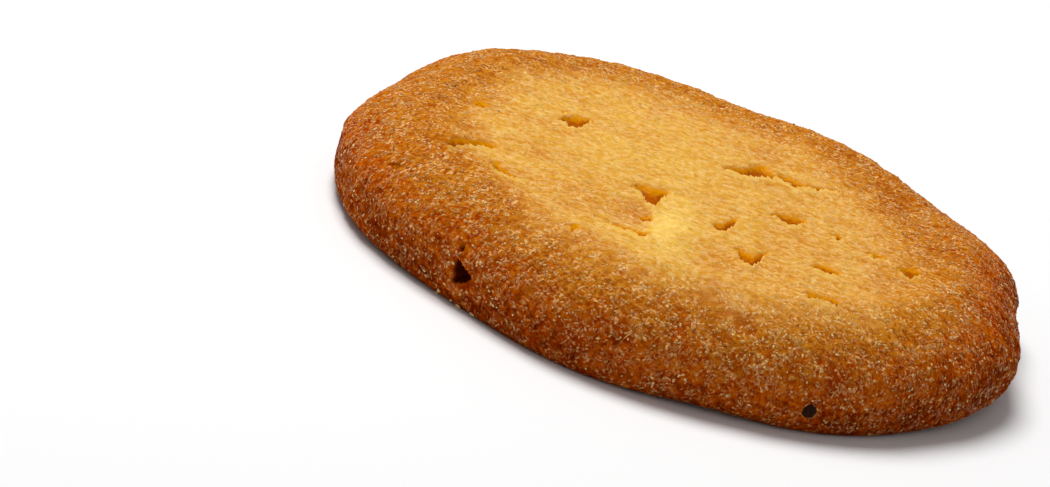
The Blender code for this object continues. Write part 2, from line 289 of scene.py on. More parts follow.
class StageSettings(bpy.types.PropertyGroup):
    """Floor, light and camera."""

    floor: bpy.props.FloatVectorProperty(
        name="Floor", description="Pale floor", subtype="COLOR", size=3, default=(0.88, 0.88, 0.88))
    key_power: bpy.props.FloatProperty(
        name="Key power", description="Power of the overhead light", default=3.6, unit="POWER")
    fill_power: bpy.props.FloatProperty(
        name="Fill power", description="Power of the front light", default=0.4, unit="POWER")
    sky: bpy.props.FloatProperty(name="Sky", description="Brightness all round", default=0.28)
    distance: bpy.props.FloatProperty(
        name="Distance", description="Camera to the middle of the base", default=0.40, unit="LENGTH")
    elevation: bpy.props.FloatProperty(
        name="Elevation", description="Camera above the horizon", default=math.radians(19.2), unit="ROTATION")
    roll: bpy.props.FloatProperty(
        name="Roll", description="Turn of the camera about its own line of sight",
        default=math.radians(18.4), unit="ROTATION")
    lens: bpy.props.FloatProperty(name="Lens", description="Focal length in millimetres", default=149.3)


# ---------------------------------------------------------------- arithmetic on arrays

def smooth_step(value):
    """0 below 0, 1 above 1, and the S-curve 3t^2 - 2t^3 between."""
    share = np.clip(value, 0.0, 1.0)
    return share * share * (3.0 - 2.0 * share)


def waves_at(angle, waves):
    """Sum of height * cos(count * (angle - crest)) over the waves."""
    return sum(height * np.cos(count * (angle - math.radians(crest))) for count, height, crest in waves)


def swells_at(angle, swells):
    """Sum over the swells of height * exp(-(away / spread)^2), away being the shorter way round."""
    total = np.zeros_like(angle)
    for centre, height, spread in swells:
        away = (angle - math.radians(centre) + math.pi) % (2.0 * math.pi) - math.pi
        total += height * np.exp(-((away / math.radians(spread)) ** 2))
    return total


def bells_at(x, y, bells):
    """Sum over the bells of height * exp(-(dx / half_x)^2 - (dy / half_y)^2)."""
    total = np.zeros_like(x)
    for centre_x, centre_y, half_x, half_y, height in bells:
        total += height * np.exp(-(((x - centre_x) / half_x) ** 2 + ((y - centre_y) / half_y) ** 2))
    return total


def unit(vectors):
    """The vectors made one long."""
    return vectors / np.maximum(np.linalg.norm(vectors, axis=-1, keepdims=True), 1e-12)


class Noise:
    """Gradient noise: at each corner of a unit lattice the dot product of a fixed random direction
    with the way from that corner, blended between the eight corners with 6t^5 - 15t^4 + 10t^3."""

    def __init__(self, seed):
        draw = np.random.default_rng(seed)
        self.order = draw.permutation(256)
        self.ways = unit(draw.normal(size=(256, 3)))

    def at(self, points, cell):
        """Noise of about -1 to 1 at the points, with lattice cells of the given width."""
        scaled = points / cell
        corner = np.floor(scaled).astype(int)
        part = scaled - corner
        ease = part * part * part * (part * (part * 6.0 - 15.0) + 10.0)
        total = np.zeros(len(points))
        for index in range(8):
            step = np.array((index & 1, index >> 1 & 1, index >> 2 & 1))
            x, y, z = ((corner + step) & 255).T
            ways = self.ways[self.order[(self.order[(self.order[x] + y) & 255] + z) & 255]]
            weight = np.prod(np.where(step, ease, 1.0 - ease), axis=1)
            total += weight * np.einsum("ij,ij->i", ways, part - step)
        return total * 1.6

    def granules(self, points, cell):
        """Rounded lumps of about the given width, 1 at their tops and 0 in the creases: each lattice
        cell holds one random point, and a lump's height is 1 minus the squared way to the nearest."""
        scaled = points / cell
        corner = np.floor(scaled).astype(int)
        nearest = np.full(len(points), 9.0)
        for index in range(27):
            step = np.array((index % 3 - 1, index // 3 % 3 - 1, index // 9 - 1))
            x, y, z = ((corner + step) & 255).T
            seat = 0.5 + 0.45 * self.ways[self.order[(self.order[(self.order[x] + y) & 255] + z) & 255]]
            away = corner + step + seat - scaled
            nearest = np.minimum(nearest, np.einsum("ij,ij->i", away, away))
        return np.clip(1.0 - nearest / 0.8, 0.0, 1.0)

    def bend(self, points, cell, reach):
        """The points moved by up to reach in each direction by three noises of one cell width."""
        shifts = (11.3, 37.1, 71.9)
        return points + reach * np.column_stack([self.at(points + shift * cell, cell) for shift in shifts])


# ---------------------------------------------------------------- form of the dough

def quarter(share, power):
    """Unit superellipse: (cos^(2/power), sin^(2/power)) of a quarter turn times share."""
    turn = math.pi / 2 * share
    return np.abs(np.cos(turn)) ** (2.0 / power), np.abs(np.sin(turn)) ** (2.0 / power)


def outline_factor(form, angle):
    """Outline radius at an angle, as a share of the mean radius: waves plus local swells."""
    return 1.0 + (waves_at(angle, OUTLINE_WAVES) + swells_at(angle, OUTLINE_SWELLS)) / form.radius


def top_relief(form, x, y):
    """Dip of the middle, an S-curve over the distance from its centre, plus one bell for each swell."""
    from_dip = np.hypot(x - 0.5 * MM, y + 0.5 * MM)
    dip = form.dip_depth * (1.0 - smooth_step((from_dip - form.dip_radius) / form.dip_slope + 0.5))
    return bells_at(x, y, TOP_SWELLS) - dip


def shape_points(form, points):
    """Points of the plain turned disc made into points of the uneven biscuit, as the solid is."""
    x, y, z = points.T
    angle = np.arctan2(y, x)
    out = np.hypot(x, y)
    up_shoulder = np.clip((z - form.wall_top) / (form.thickness - form.wall_top), 0.0, 1.0)
    down_wall = np.clip(1.0 - z / form.wall_top, 0.0, 1.0)
    in_rim = up_shoulder * smooth_step((out - form.radius + form.shoulder_width) / form.rim_width + 1.0)
    in_curl = down_wall * smooth_step((out - form.radius + form.foot_width) / form.curl_width + 1.0)
    lifted = z + in_rim * swells_at(angle, RIM_SWELLS) + in_curl * swells_at(angle, FOOT_LIFTS)
    scale = outline_factor(form, angle)
    x, y = x * scale, y * scale
    return np.column_stack((x, y, lifted + smooth_step(up_shoulder) * top_relief(form, x, y)))


def half_section(form):
    """Radius, height and run along the plain disc's section, from the middle of the top, level to the
    crest, down a superellipse quarter to the widest ring and down another to the edge of the base."""
    crest = form.radius - form.shoulder_width
    foot = form.radius - form.foot_width
    share = np.linspace(0.0, 1.0, 400)
    out, up = quarter(1.0 - share, form.shoulder_power)
    rise = form.thickness - form.wall_top
    shoulder = np.column_stack((crest + form.shoulder_width * out, form.wall_top + rise * up))
    out, down = quarter(share[1:], form.foot_power)
    wall = np.column_stack((foot + form.foot_width * out, form.wall_top * (1.0 - down)))
    line = np.vstack(((0.0, form.thickness), shoulder, wall))
    run = np.concatenate(((0.0,), np.cumsum(np.hypot(*np.diff(line, axis=0).T))))
    return line[:, 0], line[:, 1], run


def drawn_together(x, y):
    """The grid's points pulled towards the tears, so that its cells are smallest there: a pull to the
    middle of each tear and one along y to its front lip, both fading as bells."""
    pull_x = np.zeros_like(x)
    pull_y = np.zeros_like(y)
    weight = np.zeros_like(x)
    for _, outline in TEARS:
        at_x, lip, back = np.array(outline).T * MM
        centre_x, centre_y = at_x.mean(), (lip.mean() + back.mean()) / 2
        spread = 0.4 * (at_x[-1] - at_x[0]) + 1.4 * MM
        near = 0.30 * np.exp(-((x - centre_x) ** 2 + (y - centre_y) ** 2) / spread ** 2)
        pull_x += near * (centre_x - x)
        pull_y += near * (centre_y - y)
        beside = np.maximum(np.maximum(at_x[0] - x, x - at_x[-1]), 0.0)
        to_lip = np.interp(x, at_x, lip) - y
        close = 0.40 * np.exp(-(beside / (0.8 * MM)) ** 2 - (to_lip / (1.6 * MM)) ** 2)
        pull_y += close * to_lip
        weight += near + close
    share = 1.0 / np.maximum(1.0, weight / 0.6)
    return x + pull_x * share, y + pull_y * share


class DoughGrid:
    """Points and faces of the whole biscuit: a square grid bent into a disc on top, rings that carry on
    from its edge down the section, and a few rings across the base to one point."""

    GRID_EDGE = 27.0 * MM       # radius where the grid ends and the rings begin
    BASE_SHARES = (0.97, 0.9, 0.6, 0.3)     # rings of the base, as shares of its radius

    def __init__(self, form):
        cells = form.grid_cells
        # a disc's point for the square's (u, v) is (u sqrt(1 - v^2 / 2), v sqrt(1 - u^2 / 2)), and
        # u = sqrt(2) sin(45 degrees * share) makes its steps round the edge even
        side = math.sqrt(2.0) * np.sin(math.pi / 4 * np.linspace(-1.0, 1.0, cells + 1))
        u, v = np.meshgrid(side, side)
        x = self.GRID_EDGE * (u * np.sqrt(1.0 - v * v / 2.0)).ravel()
        y = self.GRID_EDGE * (v * np.sqrt(1.0 - u * u / 2.0)).ravel()
        x, y = drawn_together(x, y)
        radius, height, run = half_section(form)
        falls = slice(0, int(np.argmax(radius)) + 1)
        out = np.hypot(x, y)
        top = np.column_stack((x, y, np.interp(out, radius[falls], height[falls])))
        top_run = np.interp(out, radius[falls], run[falls])

        number = np.arange((cells + 1) ** 2).reshape(cells + 1, cells + 1)
        edge = np.concatenate((number[0, :-1], number[:-1, -1], number[-1, :0:-1], number[:0:-1, 0]))
        angle = np.arctan2(y[edge], x[edge])
        ring_run = np.linspace(np.interp(self.GRID_EDGE, radius[falls], run[falls]), run[-1], form.side_rings + 1)[1:]
        base = radius[-1] * np.array(self.BASE_SHARES)
        hole = math.radians(PITS[0][0])
        away = (angle - hole + math.pi) % (2.0 * math.pi) - math.pi
        drawn = angle - 0.5 * away * np.exp(-((away / math.radians(4.0)) ** 2))
        ring_out = np.concatenate((np.interp(ring_run, run, radius), base))
        ring_up = np.concatenate((np.interp(ring_run, run, height), np.zeros(len(base))))
        low = smooth_step((33.0 * MM - np.concatenate((ring_run, np.zeros(len(base))))) / (3.0 * MM))
        low[-len(base):] = 0.0
        angle = low[:, None] * angle + (1.0 - low[:, None]) * drawn
        rings = np.stack((
            ring_out[:, None] * np.cos(angle),
            ring_out[:, None] * np.sin(angle),
            np.broadcast_to(ring_up[:, None], angle.shape),
        ), axis=-1).reshape(-1, 3)
        plain = np.vstack((top, rings, ((0.0, 0.0, 0.0),)))
        whole_run = np.concatenate((ring_run, run[-1] + radius[-1] - base))
        self.run = np.concatenate((top_run, np.repeat(whole_run, angle.shape[1]), (run[-1] + radius[-1],)))

        loops = np.vstack((edge, len(top) + np.arange(len(rings)).reshape(len(ring_up), -1)))
        ahead = np.roll(loops, -1, axis=1)
        bands = np.stack((loops[:-1], loops[1:], ahead[1:], ahead[:-1]), axis=-1).reshape(-1, 4)
        cells_top = np.stack((number[:-1, :-1], number[:-1, 1:], number[1:, 1:], number[1:, :-1]), axis=-1)
        self.quads = np.vstack((cells_top.reshape(-1, 4), bands))
        last = np.full(loops.shape[1], len(plain) - 1)
        self.fan = np.stack((loops[-1], last, ahead[-1]), axis=-1)
        self.points = shape_points(form, plain)

    def normals(self, points):
        """Unit normal at each point: the sum of the normals of its quads (cross product of diagonals)."""
        corner = points[self.quads]
        across = np.cross(corner[:, 2] - corner[:, 0], corner[:, 3] - corner[:, 1])
        total = np.stack([
            np.bincount(self.quads.ravel(), np.repeat(across[:, axis], 4), len(points)) for axis in range(3)
        ], axis=-1)
        total[-1] = (0.0, 0.0, -1.0)
        return unit(total)


def browning_of(grid, points, noise):
    """How baked each point is: 0 in the middle, 0.5 on the rim, 1 at the foot of the wall, where the colour is
    darkened partly by painted shade.
    The rim's half is an S-curve over the run along the section; where it starts and how wide it is
    change with the angle and with noise. The wall's half grows evenly with the run past the crest."""
    x, y, z = points.T
    angle = np.arctan2(y, x)
    wander = 1.3 * MM * noise.at(points, 5.0 * MM) + 0.6 * MM * noise.at(points, 1.5 * MM)
    run = grid.run + wander
    start = 17.0 * MM + swells_at(angle, BROWNING_START)
    width = 11.0 * MM + swells_at(angle, BROWNING_WIDTH)
    rim = smooth_step((run - start) / width)
    wall = np.clip((run - 29.0 * MM - swells_at(angle, WALL_START)) / (10.5 * MM), 0.0, 1.0)
    tones = bells_at(x, y, TONES) + 0.20 * below_cliff(points, noise)
    return np.clip(0.5 * rim + 0.5 * wall * rim + (1.0 - rim) * tones, -0.4, 1.0)


def below_cliff(points, noise):
    """1 at the foot of the low step across the top and fading to its left over a bell, 0 to its right.
    The step's line wanders with noise and ends in a bell along y."""
    x, y, z = points.T
    edge, middle, half = CLIFF
    left = edge + 0.35 * MM * noise.at(points, 1.6 * MM) - x
    shown = smooth_step(left / (0.25 * MM) + 0.5) * smooth_step((z - 6.0 * MM) / (2.0 * MM))
    return shown * np.exp(-((left / (2.4 * MM)) ** 2) - ((y - middle) / half) ** 2)


def crust_relief(points, browning, noise):
    """Height of the crust's own unevenness along the normal: broad swells and lumps of noise, and
    granules of two sizes on bent ground. All but the swells stand higher where it is browner."""
    bent = noise.bend(points, 1.1 * MM, 0.30 * MM)
    baked = np.clip(browning * 2.0, 0.0, 1.0)
    swells = 0.12 * MM * noise.at(points, 6.5 * MM)
    lumps = 0.10 * MM * noise.at(points, 2.4 * MM) + 0.07 * MM * noise.at(bent, 1.3 * MM)
    grains = 0.15 * MM * (noise.granules(bent, 0.85 * MM) - 0.5) + 0.06 * MM * noise.at(bent, 0.5 * MM)
    step = 0.30 * MM * below_cliff(points, noise)
    return swells + (0.55 + 0.45 * baked) * lumps + (0.5 + 0.5 * baked) * grains - step


class TearFields:
    """What the tears do to the top. Each tear reaches, at every x, from its front lip back to its
    back edge: it drops steeply at the lip and rises evenly to the back edge."""

    def __init__(self, points, noise):
        x, y, z = points.T
        flat = np.column_stack((x, y, np.zeros_like(x)))
        wave = noise.at(flat, 0.7 * MM)
        self.depth = np.zeros_like(x)       # how deep the floor lies
        self.share = np.zeros_like(x)       # 0 outside and at the back edge, 1 at the lip
        self.bead = np.zeros_like(x)        # raised edge in front of the lip
        on_top = smooth_step((z - 6.0 * MM) / (2.0 * MM))
        for deep, outline in TEARS:
            at_x, lip, back = np.array(outline).T * MM
            near = np.flatnonzero(
                (x > at_x[0] - 2.0 * MM) & (x < at_x[-1] + 2.0 * MM)
                & (y > lip.min() - 3.0 * MM) & (y < back.max() + 2.0 * MM))
            self.add(near, x[near], y[near], wave[near], deep * MM, at_x, lip, back)
        self.depth *= on_top
        self.share *= on_top
        self.bead *= on_top

    def add(self, near, x, y, wave, deep, at_x, lip, back):
        """One tear. Its lip has teeth, |sin| along x, and its ends close over a third of a millimetre."""
        teeth = np.abs(np.sin(math.pi * x / (0.50 * MM) + 1.5 * wave))
        lip_y = np.interp(x, at_x, lip) + 0.30 * MM * teeth - 0.15 * MM + 0.18 * MM * wave
        back_y = np.interp(x, at_x, back) + 0.3 * MM * wave
        reach = np.maximum(back_y - lip_y, 0.25 * MM)
        behind = (y - lip_y) / reach
        ends = smooth_step((x - at_x[0]) / (0.35 * MM) + 0.5) * smooth_step((at_x[-1] - x) / (0.35 * MM) + 0.5)
        inside = smooth_step((y - lip_y) / (0.12 * MM) + 0.5) * ends
        slope = 1.0 - np.clip(behind, 0.0, 1.0)
        self.depth[near] = np.maximum(self.depth[near], deep * inside * slope ** 0.8)
        strength = min(1.0, deep / (0.6 * MM))
        self.share[near] = np.maximum(self.share[near], strength * inside * slope)
        front = lip_y - y
        narrow = (0.4 + teeth) * np.exp(-((front - 0.2 * MM) / (0.28 * MM)) ** 2)
        broad = 0.8 * np.exp(-((front - 0.6 * MM) / (1.1 * MM)) ** 2)
        self.bead[near] = np.maximum(self.bead[near], strength * (narrow + broad) * ends * (1.0 - inside))


def pit_share(points, noise):
    """How deep each point lies in a pit of the wall, as a share of the deepest pit, and how far it
    moves in. A point's way inside a pit is its shortest way to one of the straight edges, and the
    drop is an S-curve of that way; towards its lower right a pit is shallower."""
    x, y, z = points.T
    angle = np.arctan2(y, x)
    wave = noise.at(points, 0.5 * MM)
    move = np.zeros_like(x)
    for centre, height, depth, corners in PITS:
        away = (angle - math.radians(centre) + math.pi) % (2.0 * math.pi) - math.pi
        here = np.column_stack((away * np.hypot(x, y), z - height))
        corner = np.array(corners) * MM
        edge = np.roll(corner, -1, axis=0) - corner
        inward = unit(np.column_stack((-edge[:, 1], edge[:, 0])))
        gap = (here @ inward.T - (corner * inward).sum(axis=1)).min(axis=1) + 0.06 * MM * wave
        inside = smooth_step(gap / (0.16 * MM) + 0.5)
        floor = 1.0 - 0.5 * smooth_step((here[:, 0] - 0.6 * here[:, 1]) / (0.8 * MM))
        move = np.maximum(move, inside * floor * depth)
    return move / max(depth for _, _, depth, _ in PITS), move


# ---------------------------------------------------------------- meshes and materials

def new_mesh(name, points, faces, material, attributes=()):
    """A smooth-shaded object at the origin from arrays of points and of faces with 3 or 4 corners."""
    mesh = bpy.data.meshes.new(name)
    corners = np.concatenate([np.asarray(block).ravel() for block in faces])
    sizes = np.concatenate([np.full(len(block), block.shape[1]) for block in faces])
    mesh.vertices.add(len(points))
    mesh.vertices.foreach_set("co", np.asarray(points, np.float32).ravel())
    mesh.loops.add(len(corners))
    mesh.loops.foreach_set("vertex_index", corners.astype(np.int32))
    mesh.polygons.add(len(sizes))
    mesh.polygons.foreach_set("loop_start", (np.cumsum(sizes) - sizes).astype(np.int32))
    mesh.update(calc_edges=True)
    if mesh.validate():
        raise RuntimeError(f"{name} has faulty faces")
    for label, values in attributes:
        layer = mesh.attributes.new(label, "FLOAT", "POINT")
        layer.data.foreach_set("value", np.asarray(values, np.float32))
    mesh.shade_smooth()
    mesh.materials.append(material)
    piece = bpy.data.objects.new(name, mesh)
    bpy.context.scene.collection.objects.link(piece)
    return piece


class Shader:
    """A material's node tree, built node by node."""

    def __init__(self, name):
        self.material = bpy.data.materials.new(name)
        self.material.use_nodes = True
        self.tree = self.material.node_tree
        self.surface = self.tree.nodes["Principled BSDF"]

    def node(self, kind, inputs=(), **settings):
        """A new node, its settings made and its named or numbered inputs set or linked."""
        made = self.tree.nodes.new("ShaderNode" + kind)
        for key, value in settings.items():
            setattr(made, key, value)
        for key, value in dict(inputs).items():
            self.put(made.inputs[key], value)
        return made

    def put(self, socket, value):
        """Link an output to the socket, or set the socket's own value."""
        if isinstance(value, bpy.types.NodeSocket):
            self.tree.links.new(value, socket)
        else:
            socket.default_value = value

    def maths(self, operation, *values):
        return self.node("Math", dict(enumerate(values)), operation=operation).outputs[0]

    def vector(self, operation, *values):
        made = self.node("VectorMath", dict(enumerate(values)), operation=operation)
        return made.outputs["Value" if operation in ("DOT_PRODUCT", "LENGTH") else "Vector"]

    def scaled(self, vector, factor):
        return self.node("VectorMath", {"Vector": vector, "Scale": factor}, operation="SCALE").outputs["Vector"]

    def spread(self, value, low, high, to_low=0.0, to_high=1.0):
        """Value from low to high taken to to_low to to_high along an S-curve."""
        inputs = {"Value": value, "From Min": low, "From Max": high, "To Min": to_low, "To Max": to_high}
        return self.node("MapRange", inputs, interpolation_type="SMOOTHSTEP").outputs["Result"]

    def mix(self, share, first, second, blend="MIX"):
        """Two colours mixed."""
        made = self.node("Mix", data_type="RGBA", blend_type=blend, clamp_factor=True)
        self.put(made.inputs["Factor"], share)
        for socket, value in ((made.inputs[6], first), (made.inputs[7], second)):
            self.put(socket, (*value, 1.0) if isinstance(value, tuple) else value)
        return made.outputs[2]

    def attribute(self, name):
        return self.node("Attribute", attribute_name=name).outputs["Fac"]

    def place(self, shift=(0.0, 0.0, 0.0)):
        """Object coordinates in millimetres, shifted."""
        here = self.node("TexCoord").outputs["Object"]
        return self.node("Mapping", {"Vector": here, "Location": shift, "Scale": (1000.0, 1000.0, 1000.0)}).outputs[0]

    def noise(self, vector, scale, detail=2.0, roughness=0.5, output="Fac"):
        """Noise with scale features per millimetre."""
        inputs = {"Vector": vector, "Scale": scale, "Detail": detail, "Roughness": roughness}
        return self.node("TexNoise", inputs).outputs[output]

    def bent(self, shift, bend):
        """Object coordinates in millimetres, shifted, and moved about by a coarse noise."""
        place = self.place(shift)
        waver = self.vector("SUBTRACT", self.noise(place, 1.6, 1.0, output="Color"), (0.5, 0.5, 0.5))
        return self.vector("ADD", place, self.scaled(waver, bend))

    def strokes(self, shift, scale, half_length, half_width, bend):
        """Short strokes lying in the surface, one for each cell of a scatter of points: each point has
        a random direction in the surface, and its stroke is where the way from the point is short
        along that direction and shorter across it. Returns them with a random tone for each."""
        place = self.bent(shift, bend)
        cell = self.node("TexVoronoi", {"Vector": place, "Scale": scale})
        normal = self.node("NewGeometry").outputs["Normal"]
        away = self.in_surface(self.vector("SUBTRACT", place, cell.outputs["Position"]), normal)
        way = self.in_surface(self.vector("SUBTRACT", cell.outputs["Color"], (0.5, 0.5, 0.5)), normal)
        way = self.vector("NORMALIZE", way)
        along = self.vector("DOT_PRODUCT", away, way)
        across = self.vector("LENGTH", self.vector("SUBTRACT", away, self.scaled(way, along)))
        narrow = self.spread(across, half_width, 0.35 * half_width)
        short = self.spread(self.maths("ABSOLUTE", along), half_length, 0.6 * half_length)
        tone = self.vector("DOT_PRODUCT", cell.outputs["Color"], (0.4, 0.3, 0.3))
        return self.maths("MULTIPLY", self.maths("MULTIPLY", narrow, short), self.spread(tone, 0.25, 0.75))

    def loops(self, shift, scale, half_width, bend):
        """Broken loops: narrow bands along the edges between the cells of a scatter of points, shown
        only where a finer noise is high."""
        place = self.bent(shift, bend)
        edge = self.node("TexVoronoi", {"Vector": place, "Scale": scale}, feature="DISTANCE_TO_EDGE")
        narrow = self.spread(edge.outputs["Distance"], half_width * scale, 0.3 * half_width * scale)
        shown = self.spread(self.noise(place, 1.3 * scale, 1.0), 0.46, 0.62)
        return self.maths("MULTIPLY", narrow, shown)

    def in_surface(self, vector, normal):
        """The vector without its part along the normal."""
        return self.vector("SUBTRACT", vector, self.scaled(normal, self.vector("DOT_PRODUCT", vector, normal)))


def baked_colour(make, look, browning):
    """Colour of the crust for a browning: butter yellow at -0.36, gold at 0, brown at 0.5, dark amber at 1, that dark
    end at the foot being partly browning and partly painted shade.
    """
    colour = make.mix(make.spread(browning, -0.36, -0.06), tuple(look.butter), tuple(look.middle))
    colour = make.mix(make.spread(browning, -0.10, 0.28), colour, tuple(look.crest))
    colour = make.mix(make.spread(browning, 0.22, 0.55), colour, tuple(look.rim))
    colour = make.mix(make.spread(browning, 0.50, 0.78), colour, tuple(look.wall))
    return make.mix(make.spread(browning, 0.72, 1.0), colour, tuple(look.foot))


def crust_material(look):
    """Baked crust: browning tints it, pale strokes and loops lie over it, partly crumb and partly painted highlights,
    and painted shade darkens its hollows, the low parts of its bump, the deep ends of its tears and its pits.
    """
    make = Shader("baked_dough")
    browning = make.attribute("browning")
    tear = make.attribute("tear")
    pit = make.attribute("pit")

    patch = make.noise(make.place(), 0.30, 3.0, 0.6)
    blotch = make.noise(make.place((5.0, 9.0, 2.0)), 1.3, 2.0, 0.5)
    wander = make.maths("MULTIPLY_ADD", make.maths("SUBTRACT", patch, 0.47), 0.42, browning)
    wander = make.maths("MULTIPLY_ADD", make.maths("SUBTRACT", blotch, 0.5), 0.55, wander)
    colour = baked_colour(make, look, wander)

    grain = make.noise(make.place((7.0, 2.0, 1.0)), 2.4, 3.0, 0.6)
    baked = make.spread(browning, 0.0, 0.5)
    # deep is a darker, more saturated copy of the colour: painted shade, laid where the grain that also raises the
    # bump is low, and further down in the hollows.
    deep = make.mix(make.maths("MULTIPLY_ADD", baked, 0.35, 0.45), colour, make.mix(1.0, colour, colour, "MULTIPLY"))
    low = make.maths("MULTIPLY", make.spread(grain, 0.58, 0.38), make.maths("MULTIPLY_ADD", baked, 0.45, 0.45))
    colour = make.mix(low, colour, deep)
    # Painted shade: where the relief is low, the colour turns to its darker copy.
    colour = make.mix(make.maths("MULTIPLY", make.spread(make.attribute("hollow_shade"), 0.3, 0.9), 0.8), colour, deep)

    soft = make.spread(make.noise(make.place((1.0, 6.0, 3.0)), 1.5, 2.0, 0.5), 0.42, 0.66, 0.0, 0.24)
    colour = make.mix(make.maths("MULTIPLY", soft, make.spread(browning, 0.1, 0.4, 1.0, 0.0)), colour, tuple(look.flour))
    # Pale loops and strokes: partly crumbs and sugar, partly painted highlights along the edges of lumps.
    crumbs_and_highlights = (
        (make.loops((3.0, 8.0, 6.0), 1.6, 0.11, 0.40), 0.28),
        (make.loops((13.0, 1.0, 4.0), 1.05, 0.10, 0.55), 0.26),
        (make.strokes((0.0, 0.0, 0.0), 1.2, 0.37, 0.135, 0.40), 0.50),
        (make.strokes((31.0, 17.0, 5.0), 1.85, 0.21, 0.118, 0.30), 0.60),
    )
    wobble = make.maths("MULTIPLY", make.maths("SUBTRACT", grain, 0.5), make.spread(tear, 0.0, 0.1, 0.0, 0.4))
    ragged = make.maths("ADD", tear, wobble)
    # Painted shade: inside a tear, the colour darkens from butter yellow at the back edge to the gap colour by the
    # lip.
    inside = make.mix(make.spread(ragged, 0.12, 0.42), tuple(look.tear), tuple(look.gap))
    colour = make.mix(make.spread(ragged, 0.0, 0.16), colour, inside)
    colour = make.mix(make.spread(make.attribute("lip"), 0.4, 1.0, 0.0, 0.4), colour, tuple(look.butter))

    ridges = grain
    crowd = make.spread(make.noise(make.place((2.0, 4.0, 8.0)), 0.75, 2.0, 0.6), 0.34, 0.64, 0.25, 1.15)
    crowd = make.maths("MULTIPLY", crowd, make.spread(browning, 0.5, 0.85, 1.05, 0.62))
    crowd = make.maths("MULTIPLY", crowd, make.spread(browning, 0.0, 0.35, 0.5, 1.0))
    crowd = make.maths("MULTIPLY", crowd, make.spread(pit, 0.0, 0.15, 1.0, 0.0))
    crowd = make.maths("MULTIPLY", crowd, make.spread(tear, 0.0, 0.2, 1.0, 0.12))
    thick = make.mix(baked, tuple(look.flour), tuple(look.fleck))
    thin = make.mix(baked, tuple(look.flour), tuple(look.crumb))
    for shape, strength in crumbs_and_highlights:
        share = make.maths("MULTIPLY", shape, make.maths("MULTIPLY", crowd, strength))
        colour = make.mix(share, colour, make.mix(make.spread(share, 0.0, 0.40), thin, thick))
        ridges = make.maths("MULTIPLY_ADD", shape, 0.5, ridges)

    # Painted shade: the pits of the wall darken to the hole colour as they deepen.
    colour = make.mix(make.spread(pit, 0.02, 0.35), colour, tuple(look.hole))
    make.put(make.surface.inputs["Base Color"], colour)

    height = make.maths("MULTIPLY", ridges, make.spread(tear, 0.0, 0.3, 1.0, 0.25))
    height = make.maths("MULTIPLY", height, make.spread(browning, 0.0, 0.4, 0.3, 1.0))
    bump = make.node("Bump", {"Strength": 1.0, "Distance": 0.00007, "Height": height})
    make.put(make.surface.inputs["Normal"], bump.outputs[0])
    finish_crust(make, look.roughness, 0.0)
    return make.material


def finish_crust(make, roughness, shine):
    """Buttery gloss and a little light let through."""
    make.surface.inputs["Roughness"].default_value = roughness
    make.surface.inputs["Specular IOR Level"].default_value = shine
    make.surface.inputs["Subsurface Weight"].default_value = 0.3
    make.surface.inputs["Subsurface Radius"].default_value = (1.0, 0.45, 0.15)
    make.surface.inputs["Subsurface Scale"].default_value = 0.0005


def plain_material(name, colour, roughness, shine):
    """One colour, slightly mottled."""
    make = Shader(name)
    mottle = make.spread(make.noise(make.place(), 4.0), 0.35, 0.65)
    dim = tuple(0.6 * value for value in colour)
    make.put(make.surface.inputs["Base Color"], make.mix(mottle, dim, tuple(colour)))
    finish_crust(make, roughness, shine)
    return make.material


def fleck_material(name, look, palest, roughness):
    """Half-buried crumb: the crust's colour where it lies, paler by each fleck's own tone."""
    make = Shader(name)
    colour = baked_colour(make, look, make.attribute("browning"))
    tone = make.attribute("tone")
    fleck = make.mix(make.spread(make.attribute("browning"), 0.0, 0.5), tuple(look.flour), tuple(look.fleck))
    colour = make.mix(make.maths("MULTIPLY", tone, palest), colour, fleck)
    speckle = make.noise(make.place(), 3.0, 1.0, 0.5)
    colour = make.mix(make.spread(speckle, 0.62, 0.42, 0.0, 0.3), colour, make.mix(1.0, colour, colour, "MULTIPLY"))
    make.put(make.surface.inputs["Base Color"], colour)
    finish_crust(make, roughness, 0.15)
    return make.material


# ---------------------------------------------------------------- crumbs

class Crust:
    """The baked crust as arrays, so that crumbs can be laid on it."""

    def __init__(self, form):
        self.noise = Noise(form.seed)
        self.grid = DoughGrid(form)
        points = self.grid.points
        normals = self.grid.normals(points)
        self.browning = browning_of(self.grid, points, self.noise)
        relief = crust_relief(points, self.browning, self.noise)
        self.tears = TearFields(points, self.noise)
        off_base = smooth_step(points[:, 2] / (1.5 * MM))
        raised = relief * off_base * (1.0 - 0.7 * np.clip(self.tears.share * 3.0, 0.0, 1.0))
        raised += 0.12 * MM * self.tears.bead
        self.points = points + normals * raised[:, None]
        self.points[:, 2] -= self.tears.depth
        self.pit, sunk = pit_share(points, self.noise)
        self.points -= normals * sunk[:, None]
        self.points[:, 2] = np.maximum(self.points[:, 2], 0.0)
        # Share of painted shade, highest where the relief lies lowest.
        self.hollow_shade = np.clip(0.5 - relief / (0.28 * MM), 0.0, 1.0)
        self.normals = self.grid.normals(self.points)

    def scatter(self, draw, count, weight):
        """Random places on the crust, as points, normals and browning: a quad is drawn by its area
        times its corners' least weight, and the place in it by two even draws."""
        quads = self.grid.quads
        corner = self.points[quads]
        area = np.linalg.norm(np.cross(corner[:, 2] - corner[:, 0], corner[:, 3] - corner[:, 1]), axis=1)
        odds = area * weight[quads].min(axis=1)
        chosen = quads[draw.choice(len(quads), count, p=odds / odds.sum())]
        s, t = draw.random((2, count))
        share = np.column_stack(((1 - s) * (1 - t), s * (1 - t), s * t, (1 - s) * t))
        points = np.einsum("ij,ijk->ik", share, self.points[chosen])
        normals = unit(np.einsum("ij,ijk->ik", share, self.normals[chosen]))
        return points, normals, self.browning[chosen].mean(axis=1)


